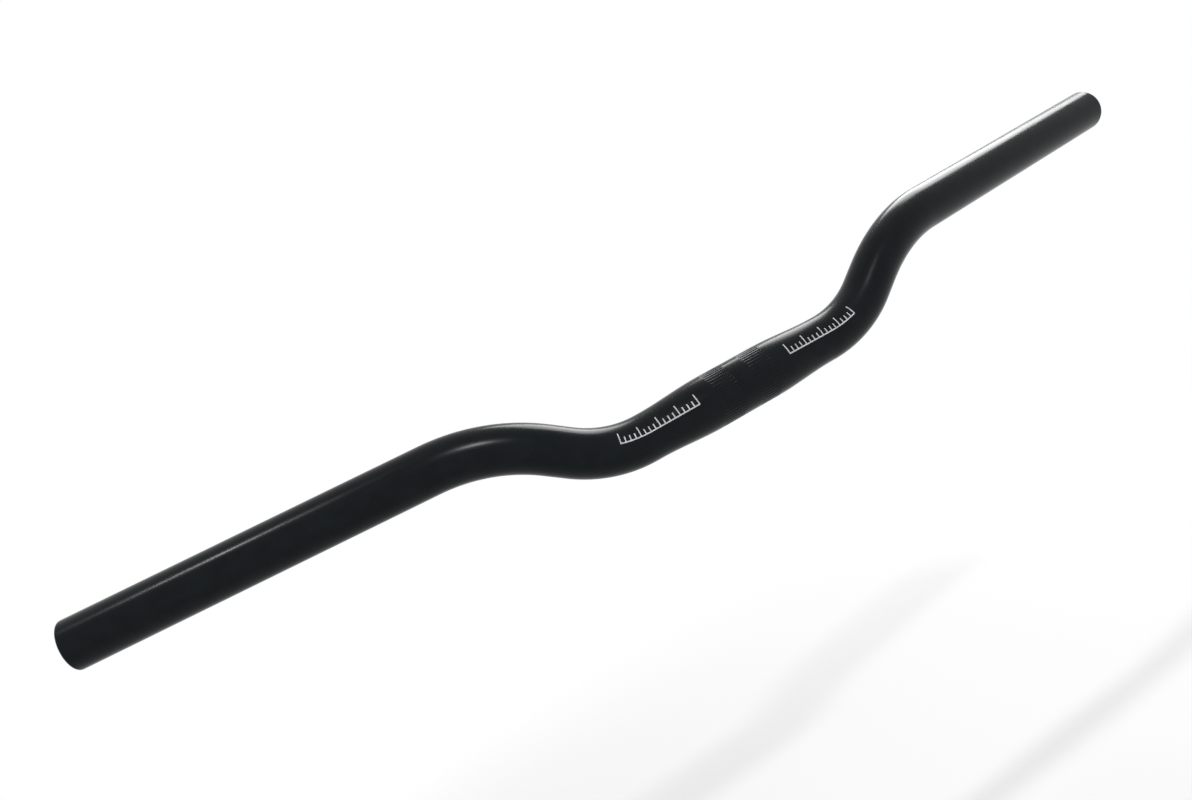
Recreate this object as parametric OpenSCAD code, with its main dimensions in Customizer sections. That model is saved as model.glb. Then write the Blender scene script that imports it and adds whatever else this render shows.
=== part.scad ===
// Riser handlebar of a bicycle: one steel tube, thicker where the stem clamps it, bent up and back.
// Millimetres. The origin is the middle of the clamp section, on its axis.
// +X runs along the clamp section, +Y points back to the rider and +Z points up.

/* [Tube] */
// Outside diameter where the stem clamps the bar
clamp_d = 25.4; // [24:0.1:28]
// Outside diameter of the bends and the grips
grip_d = 22.2; // [20:0.1:23.5]
// Thickness of the tube's wall
wall = 1.8; // [1:0.1:3]

/* [Clamp section] */
// Length at the full clamp diameter
clamp_length = 32; // [28:1:60]
// Length of each taper, from the clamp diameter down to the grip diameter
taper_length = 32; // [15:1:60]
// Straight tube between each taper and the first bend
lead_length = 2; // [1:0.5:40]

/* [Knurled bands] */
// Length of each band of grooves
knurl_length = 11; // [4:0.5:12]
// Plain stretch between each band and the end of the clamp section
knurl_inset = 0.5; // [0.5:0.5:1.5]
// Number of grooves round the tube
knurl_count = 48; // [24:1:52]
// Depth of each groove
knurl_depth = 0.2; // [0.05:0.05:0.3]

/* [Bends] */
// Slope of the risers against the clamp section
riser_angle = 35; // [15:1:60]
// Straight length of each riser, between its two bends
riser_length = 10; // [2:1:120]
// Centreline radius of the bend at the foot of each riser
foot_bend_r = 58; // [35:1:120]
// Centreline radius of the bend at the head of each riser
head_bend_r = 85; // [35:1:120]
// Angle at which the grips point back to the rider
backsweep = 13; // [0:0.5:30]
// Angle at which the grips point up
upsweep = 3; // [0:0.5:10]

/* [Grips] */
// Straight length of each grip
grip_length = 161; // [90:1:250]
// Bevel round the outer edge of each cut end
end_bevel = 0.6; // [0.1:0.1:0.9]

/* [Hidden] */
$fn = 96;
// Cuts run this far past the face that they open
cut = 1;
// Diameter that the tube loses in a bend, and the length by which a bend runs into the straight tube
bend_thinning = 0.02;
bend_run_in = 0.4;
// Steps in each taper's curve
taper_steps = 12;

clamp_bore_d = clamp_d - 2 * wall;
grip_bore_d = grip_d - 2 * wall;
middle_half = clamp_length / 2 + taper_length + lead_length;
knurl_x = clamp_length / 2 - knurl_inset - knurl_length / 2;

// Direction of a grip, and the side of the riser that looks down and out
grip_way = [cos(backsweep) * cos(upsweep), sin(backsweep) * cos(upsweep), sin(upsweep)];
riser_way = [cos(riser_angle), 0, sin(riser_angle)];
riser_under = [sin(riser_angle), 0, -cos(riser_angle)];
// How far the second bend turns, and towards which side: 0 is the underside and 90 the rider's
head_bend_angle = acos(riser_way * grip_way);
head_bend_side = atan2(grip_way[1], riser_under * grip_way);

// Share of a taper's fall at t of its length: level at both ends
function ease(t) = t * t * (3 - 2 * t);

// A straight rod along +Z, with what follows it placed at its end
module straight(d, length) {
    cylinder(d = d, h = length);
    translate([0, 0, length]) children();
}

// A rod that bends from +Z towards one side, given as an angle about Z, with what follows placed at its end.
// It is a hair thinner than the straight rods and runs a little way into both, so no two faces coincide.
module bend(d, radius, angle, side) {
    run_in = asin(bend_run_in / radius);
    rotate([0, 0, side]) translate([radius, 0, 0]) {
        rotate([-90, 0, 0]) rotate([0, 0, 180])
            rotate_extrude(start = -run_in, angle = angle + 2 * run_in)
                translate([radius, 0]) circle(d = d - bend_thinning);
        rotate([0, angle, 0]) translate([-radius, 0, 0]) rotate([0, 0, -side]) children();
    }
}

// The straight middle along X, from one first bend to the other
module middle(full_d, end_d) {
    fall = (full_d - end_d) / 2;
    curve = [for (i = [0 : taper_steps]) let (t = i / taper_steps)
        [full_d / 2 - fall * ease(t), clamp_length / 2 + taper_length * t]];
    side = concat(curve, [[end_d / 2, middle_half]]);
    other_side = [for (i = [len(side) - 1 : -1 : 0]) [side[i][0], -side[i][1]]];
    rotate([0, 90, 0]) rotate_extrude()
        polygon(concat([[0, -middle_half]], other_side, side, [[0, middle_half]]));
}

// One side of the bar from the middle outwards, with the children at the end of its grip
module arm(d, length) {
    translate([middle_half, 0, 0]) rotate([0, 90, 0])
        bend(d, foot_bend_r, riser_angle, 180)
            straight(d, riser_length)
                bend(d, head_bend_r, head_bend_angle, head_bend_side)
                    straight(d, length)
                        children();
}

// The outside of the bar as a solid rod
module outside() {
    middle(clamp_d, grip_d);
    for (side = [0, 1])
        mirror([side, 0, 0])
            arm(grip_d, grip_length - end_bevel)
                cylinder(d1 = grip_d, d2 = grip_d - 2 * end_bevel, h = end_bevel);
}

// The hollow of the tube, open past both ends
module hollow() {
    middle(clamp_bore_d, grip_bore_d);
    for (side = [0, 1])
        mirror([side, 0, 0])
            arm(grip_bore_d, grip_length + cut);
}

// Fine V grooves along the tube, which keep the bar from turning in the stem
module knurl() {
    for (x = [-knurl_x, knurl_x], i = [0 : knurl_count - 1])
        translate([x, 0, 0]) rotate([(i + 0.5) * 360 / knurl_count, 0, 0])
            translate([0, 0, clamp_d / 2]) rotate([45, 0, 0])
                cube([knurl_length, knurl_depth * sqrt(2), knurl_depth * sqrt(2)], center = true);
}

module handlebar() {
    color([0.11, 0.12, 0.13])
        difference() {
            outside();
            hollow();
            knurl();
        }
}

handlebar();
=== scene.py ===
"""Looks of the riser handlebar: its painted skin and its printed scale, with a floor, lights and a camera.

Metres, in the frame of the CAD: +X along the clamp section, +Y back to the rider, +Z up.
"""
import math

import bpy
from mathutils import Matrix, Vector

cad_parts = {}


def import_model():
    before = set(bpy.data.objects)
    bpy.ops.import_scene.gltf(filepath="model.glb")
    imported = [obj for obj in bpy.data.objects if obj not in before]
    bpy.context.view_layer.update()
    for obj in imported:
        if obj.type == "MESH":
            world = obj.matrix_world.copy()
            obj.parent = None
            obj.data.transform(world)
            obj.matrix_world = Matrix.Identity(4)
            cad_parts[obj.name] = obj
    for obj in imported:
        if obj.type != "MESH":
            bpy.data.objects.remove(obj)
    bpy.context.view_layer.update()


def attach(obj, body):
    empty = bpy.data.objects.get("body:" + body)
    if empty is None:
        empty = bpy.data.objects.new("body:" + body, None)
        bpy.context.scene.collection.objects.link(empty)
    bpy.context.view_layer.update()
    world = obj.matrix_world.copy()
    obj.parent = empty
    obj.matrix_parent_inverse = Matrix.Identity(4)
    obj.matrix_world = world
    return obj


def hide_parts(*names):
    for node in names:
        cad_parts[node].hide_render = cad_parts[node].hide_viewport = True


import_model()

MM = 0.001

# The tube, with the sizes of the CAD model
CLAMP_R = 12.7 * MM
GRIP_R = 11.1 * MM
WALL = 1.8 * MM
CLAMP_HALF = 16 * MM
TAPER_LENGTH = 32 * MM
LEAD_LENGTH = 2 * MM
RISER_ANGLE = math.radians(35)
RISER_LENGTH = 10 * MM
FOOT_BEND_R = 58 * MM
HEAD_BEND_R = 85 * MM
BACKSWEEP = math.radians(13)
UPSWEEP = math.radians(3)
GRIP_LENGTH = 161 * MM
MIDDLE_HALF = CLAMP_HALF + TAPER_LENGTH + LEAD_LENGTH

# The cut ends: the paint rounds the outer edge, and the inner edge is broken
END_ROUND = 1.2 * MM
END_ROUND_STEPS = 6
INNER_BEVEL = 0.2 * MM

# The knurled bands, with grooves that the paint makes wide and soft
KNURL_COUNT = 48
KNURL_PITCH = 2 * math.pi / KNURL_COUNT
KNURL_DEPTH = 0.2 * MM
KNURL_HALF_WIDTH = 0.4 * MM
KNURL_FROM = 4.5 * MM
KNURL_TO = 15.5 * MM
KNURL_RUN_OUT = 0.4 * MM

# Rings of points along each stretch of the outside, and along the hollow, which needs fewer
TAPER_RINGS = 16
BEND_RINGS = 20
RISER_RINGS = 2
GRIP_RINGS = 4
HOLLOW_TAPER_RINGS = 6
HOLLOW_BEND_RINGS = 10
HOLLOW_GRIP_RINGS = 2
# A ring this close to an edge keeps the shading of the long faces beside it straight
EDGE_RING = 0.25 * MM


def spread(start, end, steps):
    """Evenly spaced values from start to end, without the start itself."""
    return [start + (end - start) * (i + 1) / steps for i in range(steps)]


# The line that the tube follows

# The angle about local Z at which the top of the tube lies, and so the way that the first bend turns
TOP = math.pi


def at_x(x):
    """The place of a ring on the straight middle: local Z runs along the tube."""
    return Matrix.Translation((x, 0, 0)) @ Matrix.Rotation(math.pi / 2, 4, "Y")


def back_from(place, distance):
    """The place that lies a distance back along the tube from another."""
    return place @ Matrix.Translation((0, 0, -distance))


def bend_steps(start, radius, angle, side, steps):
    """Places along an arc that turns local Z towards one side, given as an angle about it."""
    turned = start @ Matrix.Rotation(side, 4, "Z") @ Matrix.Translation((radius, 0, 0))
    back = Matrix.Translation((-radius, 0, 0)) @ Matrix.Rotation(-side, 4, "Z")
    return [turned @ Matrix.Rotation(turn, 4, "Y") @ back for turn in spread(0, angle, steps)]


def straight_steps(start, length, steps):
    """Places along a straight stretch."""
    return [start @ Matrix.Translation((0, 0, z)) for z in spread(0, length, steps)]


def head_bend():
    """How far the second bend turns, and towards which side of the riser."""
    grip_way = Vector((math.cos(BACKSWEEP) * math.cos(UPSWEEP),
                       math.sin(BACKSWEEP) * math.cos(UPSWEEP), math.sin(UPSWEEP)))
    riser_way = Vector((math.cos(RISER_ANGLE), 0, math.sin(RISER_ANGLE)))
    riser_under = Vector((math.sin(RISER_ANGLE), 0, -math.cos(RISER_ANGLE)))
    return riser_way.angle(grip_way), math.atan2(grip_way.y, riser_under.dot(grip_way))


def line_place(s):
    """The place at a distance s from the middle, up to the end of the first bend on the side of +X."""
    if s <= MIDDLE_HALF:
        return at_x(s)
    turn = (s - MIDDLE_HALF) / FOOT_BEND_R
    return bend_steps(at_x(MIDDLE_HALF), FOOT_BEND_R, turn, TOP, steps=1)[0]


def arm_places(bend_rings, grip_rings):
    """Places from the first bend to the end of the grip on the side of +X."""
    angle, side = head_bend()
    places = bend_steps(at_x(MIDDLE_HALF), FOOT_BEND_R, RISER_ANGLE, TOP, bend_rings)
    places += straight_steps(places[-1], RISER_LENGTH, RISER_RINGS)
    places += bend_steps(places[-1], HEAD_BEND_R, angle, side, bend_rings)
    return places + straight_steps(places[-1], GRIP_LENGTH, grip_rings)


# The skin of the tube

def ease(t):
    """Share of a taper's fall at t of its length: level at both ends."""
    return t * t * (3 - 2 * t)


def taper_drop(x):
    """How much smaller the tube's radius is at x than in the clamp section."""
    t = min(max((x - CLAMP_HALF) / TAPER_LENGTH, 0), 1)
    return (CLAMP_R - GRIP_R) * ease(t)


def groove_depth(x):
    """Depth of the knurl's grooves at x: they rise to the surface at both ends of the band."""
    inside = min(x - KNURL_FROM, KNURL_TO - x)
    return KNURL_DEPTH * min(max(inside / KNURL_RUN_OUT, 0), 1)


def ring_angles():
    """Angles round the tube, each with its share of a groove's depth.

    Five points make a groove a soft dip, and one more lies halfway to the next groove.
    """
    half = KNURL_HALF_WIDTH / CLAMP_R
    dip = ((-half, 0), (-half / 2, 0.5), (0, 1), (half / 2, 0.5), (half, 0), (KNURL_PITCH / 2, 0))
    return [((i + 0.5) * KNURL_PITCH + turn, share) for i in range(KNURL_COUNT) for turn, share in dip]


def round_point(place, radius, angle):
    """A point on the tube. At 180 degrees it is on top and at 270 degrees in front."""
    return place @ Vector((radius * math.cos(angle), radius * math.sin(angle), 0))


def ring(place, radius, groove=0):
    """One ring of points, which dips by groove at the bottom of each groove."""
    return [round_point(place, radius - groove * share, angle) for angle, share in ring_angles()]


def rounded_end(end):
    """Rings round the outer edge of a cut end."""
    rings = [ring(back_from(end, END_ROUND + EDGE_RING), GRIP_R)]
    for turn in [0] + spread(0, math.pi / 2, END_ROUND_STEPS):
        place = back_from(end, END_ROUND * (1 - math.sin(turn)))
        rings.append(ring(place, GRIP_R - END_ROUND * (1 - math.cos(turn))))
    return rings


def broken_end(end, bore):
    """Rings along the inner edge of a cut end."""
    rings = [ring(back_from(end, back), bore) for back in (INNER_BEVEL + EDGE_RING, INNER_BEVEL)]
    return rings + [ring(end, bore + INNER_BEVEL)]


def outer_rings():
    """Rings of the outside from the middle to the end at +X."""
    xs = [0, KNURL_FROM - EDGE_RING, KNURL_FROM, KNURL_FROM + KNURL_RUN_OUT]
    xs += [KNURL_TO - KNURL_RUN_OUT, KNURL_TO, KNURL_TO + EDGE_RING, CLAMP_HALF]
    xs += spread(CLAMP_HALF, CLAMP_HALF + TAPER_LENGTH, TAPER_RINGS) + [MIDDLE_HALF]
    rings = [ring(at_x(x), CLAMP_R - taper_drop(x), groove_depth(x)) for x in xs]
    places = arm_places(BEND_RINGS, GRIP_RINGS)
    return rings + [ring(p, GRIP_R) for p in places[:-1]] + rounded_end(places[-1])


def inner_rings():
    """Rings of the hollow from the middle to the end at +X."""
    xs = [0, CLAMP_HALF] + spread(CLAMP_HALF, CLAMP_HALF + TAPER_LENGTH, HOLLOW_TAPER_RINGS) + [MIDDLE_HALF]
    rings = [ring(at_x(x), CLAMP_R - WALL - taper_drop(x)) for x in xs]
    places = arm_places(HOLLOW_BEND_RINGS, HOLLOW_GRIP_RINGS)
    bore = GRIP_R - WALL
    return rings + [ring(p, bore) for p in places[:-1]] + broken_end(places[-1], bore)


def mirrored(points):
    """The same points on the side of -X."""
    return [Vector((-p.x, p.y, p.z)) for p in points]


def both_sides(rings):
    """The rings of one side, mirrored to make the whole length from -X to +X."""
    return [mirrored(r) for r in rings[:0:-1]] + rings


def new_object(name, points, faces, material):
    """A smooth mesh of one material, placed in the scene."""
    mesh = bpy.data.meshes.new(name)
    mesh.from_pydata([tuple(p) for p in points], [], faces)
    mesh.validate()
    mesh.materials.append(material)
    mesh.shade_smooth()
    mesh.update()
    obj = bpy.data.objects.new(name, mesh)
    bpy.context.scene.collection.objects.link(obj)
    return obj


def tube(material):
    """The whole bar as one closed skin: out along the outside, and back through the hollow."""
    loop = both_sides(outer_rings()) + both_sides(inner_rings())[::-1]
    count = len(loop[0])
    points = [p for r in loop for p in r]
    faces = []
    for i in range(len(loop)):
        a, b = i * count, (i + 1) % len(loop) * count
        for j in range(count):
            k = (j + 1) % count
            faces.append((a + j, a + k, b + k, b + j))
    return new_object("bar_tube", points, faces, material)


# The printed scale

# Where the scale starts and ends on each side of the middle, and the distance from mark to mark
PRINT_FROM = 25 * MM
PRINT_TO = 65 * MM
MARK_PITCH = 2.5 * MM
MARK_WIDTH = 0.55 * MM
LONG_MARK_EVERY = 4
# The marks stand on a line round the front of the tube, at this angle, and a long one turns by this much
MARK_FOOT = math.radians(262)
LONG_MARK = math.radians(24)
# Cells along a long mark and along a short one
LONG_MARK_CELLS = 10
SHORT_MARK_CELLS = 5
# Columns of cells from one mark to the next: the mark itself and two between
MARK_COLUMNS = 3
# The print stands this far out of the paint, and reaches this far into it
PRINT_RISE = 0.03 * MM
PRINT_SINK = 0.05 * MM
# Edges that turn by more than this stay sharp
PRINT_SHARP_ANGLE = math.radians(30)


def print_stations():
    """Distances from the middle at which a column of cells starts or ends."""
    stations = []
    for i in range(round((PRINT_TO - PRINT_FROM) / MARK_PITCH) + 1):
        s = PRINT_FROM + i * MARK_PITCH
        stations += [s - MARK_WIDTH / 2, s + MARK_WIDTH / 2, s + MARK_PITCH / 2]
    return stations[:-1]


def print_angles():
    """Angles at which a row of cells starts or ends: the foot line comes first, then the marks."""
    line = MARK_WIDTH / GRIP_R
    return [MARK_FOOT + line, MARK_FOOT] + spread(MARK_FOOT, MARK_FOOT - LONG_MARK, LONG_MARK_CELLS)


def print_cells(columns):
    """The cells that hold print, as column and row: the foot line everywhere, and the marks above it."""
    cells = {(i, 0) for i in range(columns)}
    for i in range(0, columns, MARK_COLUMNS):
        short = i // MARK_COLUMNS % LONG_MARK_EVERY
        height = SHORT_MARK_CELLS if short else LONG_MARK_CELLS
        cells.update((i, j + 1) for j in range(height))
    return cells


def print_side():
    """Points and faces of the print on the side of +X: one thin closed slab that follows the tube."""
    stations, angles = print_stations(), print_angles()
    cells = print_cells(len(stations) - 1)
    points, faces, numbers = [], [], {}

    def corner(i, j, lift):
        """The number of the point at one corner of a cell, made when it is first asked for."""
        if (i, j, lift) not in numbers:
            numbers[i, j, lift] = len(points)
            s = stations[i]
            points.append(round_point(line_place(s), CLAMP_R - taper_drop(s) + lift, angles[j]))
        return numbers[i, j, lift]

    for i, j in sorted(cells):
        rim = ((i, j), (i + 1, j), (i + 1, j + 1), (i, j + 1))
        beside = ((i, j - 1), (i + 1, j), (i, j + 1), (i - 1, j))
        top = [corner(*c, PRINT_RISE) for c in rim]
        under = [corner(*c, -PRINT_SINK) for c in rim]
        faces += [tuple(top), tuple(reversed(under))]
        for k, neighbour in enumerate(beside):
            if neighbour not in cells:
                n = (k + 1) % len(rim)
                faces.append((top[n], top[k], under[k], under[n]))
    return points, faces


def printed_scale(material):
    """A plain scale of marks on the front of the middle, on both sides of the clamp section."""
    points, faces = print_side()
    mirrored_faces = [tuple(len(points) + i for i in reversed(f)) for f in faces]
    obj = new_object("printed_scale", points + mirrored(points), faces + mirrored_faces, material)
    obj.data.set_sharp_from_angle(angle=PRINT_SHARP_ANGLE)
    return obj


# Materials

# The stretch of a noise over which a number, or a colour, goes from its first value to its second
NUMBER_NOISE = (0.3, 0.7)
COLOR_NOISE = (0.35, 0.65)
NOISE_DETAIL = 2
PAINT_SPECULAR = 0.09
PAINT_RELIEF = 0.003 * MM


def principled(name):
    """A new material, with its node tree and its shader."""
    material = bpy.data.materials.new(name)
    material.use_nodes = True
    return material, material.node_tree, material.node_tree.nodes["Principled BSDF"]


def noise(tree, scale, detail=NOISE_DETAIL):
    """A noise fixed to the bar, with its scale in 1/m."""
    place = tree.nodes.new("ShaderNodeTexCoord")
    texture = tree.nodes.new("ShaderNodeTexNoise")
    texture.inputs["Scale"].default_value = scale
    texture.inputs["Detail"].default_value = detail
    tree.links.new(place.outputs["Object"], texture.inputs["Vector"])
    return texture.outputs["Fac"]


def vary(tree, socket, values, noise_scale):
    """Drives a number on the shader between two values by a noise."""
    spread_out = tree.nodes.new("ShaderNodeMapRange")
    for name, value in zip(("From Min", "From Max", "To Min", "To Max"), (*NUMBER_NOISE, *values)):
        spread_out.inputs[name].default_value = value
    tree.links.new(noise(tree, noise_scale), spread_out.inputs["Value"])
    tree.links.new(spread_out.outputs["Result"], socket)


def vary_color(tree, socket, colors, noise_scale):
    """Drives a colour on the shader between two others by a noise."""
    ramp = tree.nodes.new("ShaderNodeValToRGB")
    for element, position, color in zip(ramp.color_ramp.elements, COLOR_NOISE, colors):
        element.position = position
        element.color = (*color, 1)
    tree.links.new(noise(tree, noise_scale), ramp.inputs["Fac"])
    tree.links.new(ramp.outputs["Color"], socket)


def uneven(tree, socket, depth, noise_scale):
    """Gives the surface a fine smooth relief, of a depth in metres."""
    bump = tree.nodes.new("ShaderNodeBump")
    bump.inputs["Strength"].default_value = 1
    bump.inputs["Distance"].default_value = depth
    tree.links.new(noise(tree, noise_scale, detail=0), bump.inputs["Height"])
    tree.links.new(bump.outputs["Normal"], socket)


def black_paint():
    """Satin black paint, a little uneven in its colour, its sheen and its surface."""
    material, tree, shader = principled("satin_black_paint")
    shader.inputs["Specular IOR Level"].default_value = PAINT_SPECULAR
    blacks = ((0.0040, 0.0059, 0.0070), (0.0059, 0.0082, 0.0094))
    vary_color(tree, shader.inputs["Base Color"], blacks, noise_scale=140)
    vary(tree, shader.inputs["Roughness"], (0.19, 0.24), noise_scale=45)
    uneven(tree, shader.inputs["Normal"], PAINT_RELIEF, noise_scale=400)
    return material


def silver_print():
    """Pale grey ink, rougher than the paint and a little worn."""
    material, tree, shader = principled("silver_print")
    greys = ((0.42, 0.43, 0.44), (0.62, 0.63, 0.64))
    vary_color(tree, shader.inputs["Base Color"], greys, noise_scale=700)
    vary(tree, shader.inputs["Roughness"], (0.38, 0.55), noise_scale=300)
    return material


# Floor, light and camera

WHITE = (1, 1, 1, 1)
BACKGROUND_RAYS = ("Is Camera Ray", "Is Glossy Ray", "Is Transmission Ray")
BACKGROUND_STRENGTH = 1
FILL_STRENGTH = 0.05
LAMP_DISTANCE = 4

FLOOR_Z = -0.25
FLOOR_HALF = 6
FLOOR_COLOR = (0.9, 0.9, 0.9, 1)
FLOOR_ROUGHNESS = 0.9
FLOOR_SPECULAR = 0.1
# The floor's own colour fades into the background between these distances
FLOOR_FADE = (0.4, 1.1)


def combined(tree, operation, first, second):
    """The result of one operation on two values."""
    node = tree.nodes.new("ShaderNodeMath")
    node.operation = operation
    tree.links.new(first, node.inputs[0])
    tree.links.new(second, node.inputs[1])
    return node.outputs[0]


def mixed(tree, share, first, second):
    """A mix of two shaders: the first alone where share is 0, and the second alone where it is 1."""
    mix = tree.nodes.new("ShaderNodeMixShader")
    tree.links.new(share, mix.inputs["Fac"])
    tree.links.new(first.outputs[0], mix.inputs[1])
    tree.links.new(second.outputs[0], mix.inputs[2])
    return mix


def background_seen(tree):
    """1 for the rays that show a background, and 0 for those that only light something."""
    path = tree.nodes.new("ShaderNodeLightPath")
    seen = path.outputs[BACKGROUND_RAYS[0]]
    for name in BACKGROUND_RAYS[1:]:
        seen = combined(tree, "MAXIMUM", seen, path.outputs[name])
    return seen


def floor_far(tree):
    """0 on the floor below the bar, rising to 1 further out."""
    place = tree.nodes.new("ShaderNodeTexCoord")
    distance = tree.nodes.new("ShaderNodeVectorMath")
    distance.operation = "LENGTH"
    fade = tree.nodes.new("ShaderNodeMapRange")
    fade.interpolation_type = "SMOOTHSTEP"
    fade.inputs["From Min"].default_value = FLOOR_FADE[0]
    fade.inputs["From Max"].default_value = FLOOR_FADE[1]
    tree.links.new(place.outputs["Object"], distance.inputs[0])
    tree.links.new(distance.outputs["Value"], fade.inputs["Value"])
    return fade.outputs["Result"]


def floor_paint():
    """A pale colour near the bar, and the white background further out.

    Its underside is clear, so the bar can be looked at from below.
    """
    material, tree, shader = principled("pale_floor")
    shader.inputs["Base Color"].default_value = FLOOR_COLOR
    shader.inputs["Roughness"].default_value = FLOOR_ROUGHNESS
    shader.inputs["Specular IOR Level"].default_value = FLOOR_SPECULAR
    white = tree.nodes.new("ShaderNodeEmission")
    top = mixed(tree, combined(tree, "MULTIPLY", floor_far(tree), background_seen(tree)), shader, white)
    clear = tree.nodes.new("ShaderNodeBsdfTransparent")
    side = tree.nodes.new("ShaderNodeNewGeometry")
    surface = mixed(tree, side.outputs["Backfacing"], top, clear)
    tree.links.new(surface.outputs[0], tree.nodes["Material Output"].inputs["Surface"])
    return material


def floor():
    """A square floor below the bar, which takes its shadow."""
    corners = [(x * FLOOR_HALF, y * FLOOR_HALF, 0) for x, y in ((-1, -1), (1, -1), (1, 1), (-1, 1))]
    obj = new_object("floor", corners, [(0, 1, 2, 3)], floor_paint())
    obj.location.z = FLOOR_Z


def world():
    """White wherever the background is seen or mirrored, and a dim fill light otherwise."""
    studio = bpy.data.worlds.new("studio")
    studio.use_nodes = True
    bpy.context.scene.world = studio
    tree = studio.node_tree
    fill = tree.nodes["Background"]
    white = tree.nodes.new("ShaderNodeBackground")
    for shader, strength in ((fill, FILL_STRENGTH), (white, BACKGROUND_STRENGTH)):
        shader.inputs["Color"].default_value = WHITE
        shader.inputs["Strength"].default_value = strength
    surface = mixed(tree, background_seen(tree), fill, white)
    tree.links.new(surface.outputs[0], tree.nodes["World Output"].inputs["Surface"])


def softbox(name, azimuth, elevation, width, height, radiance):
    """An area lamp that faces the bar, as bright at any size.

    Its place and its size are angles in degrees, seen from the bar. Azimuth runs from +X to +Y.
    """
    a, e = math.radians(azimuth), math.radians(elevation)
    away = Vector((math.cos(e) * math.cos(a), math.cos(e) * math.sin(a), math.sin(e)))
    data = bpy.data.lights.new(name, "AREA")
    data.shape = "RECTANGLE"
    data.size = 2 * LAMP_DISTANCE * math.tan(math.radians(width / 2))
    data.size_y = 2 * LAMP_DISTANCE * math.tan(math.radians(height / 2))
    data.energy = radiance * math.pi * data.size * data.size_y
    obj = bpy.data.objects.new(name, data)
    obj.location = away * LAMP_DISTANCE
    obj.rotation_euler = away.to_track_quat("Z", "Y").to_euler()
    bpy.context.scene.collection.objects.link(obj)


def lights():
    """Three softboxes, each at the place that its highlight in the photograph gives."""
    softbox("main_softbox", azimuth=28, elevation=43, width=33, height=27, radiance=10.4)
    softbox("front_softbox", azimuth=-88, elevation=34.3, width=7, height=7, radiance=102)
    softbox("left_softbox", azimuth=-144, elevation=63, width=5, height=5, radiance=88)


# The photograph's view in the bar's frame, and its lens in pixels of the photograph
CAMERA_PLACE = Vector((-0.1965, -0.4292, 0.0007))
CAMERA_FORWARD = Vector((0.300, 0.952, 0.054))
CAMERA_UP = Vector((0.453, -0.192, 0.871))
FOCAL_PIXELS = 1036
PHOTO_WIDTH = 1192
# Width of the camera's sensor in millimetres, as Blender takes it
SENSOR_WIDTH = 36


def camera():
    """The camera of the photograph."""
    forward = CAMERA_FORWARD.normalized()
    right = forward.cross(CAMERA_UP).normalized()
    data = bpy.data.cameras.new("camera")
    data.sensor_width = SENSOR_WIDTH
    data.lens = FOCAL_PIXELS / PHOTO_WIDTH * SENSOR_WIDTH
    obj = bpy.data.objects.new("camera", data)
    axes = Matrix((right, right.cross(forward), -forward)).transposed().to_4x4()
    obj.matrix_world = Matrix.Translation(CAMERA_PLACE) @ axes
    bpy.context.scene.collection.objects.link(obj)
    bpy.context.scene.camera = obj


bar = tube(black_paint())
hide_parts("handlebar")
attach(bar, "root")
scale = printed_scale(silver_print())
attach(scale, "root")

floor()
world()
lights()
camera()
bpy.context.scene.view_settings.view_transform = "Standard"
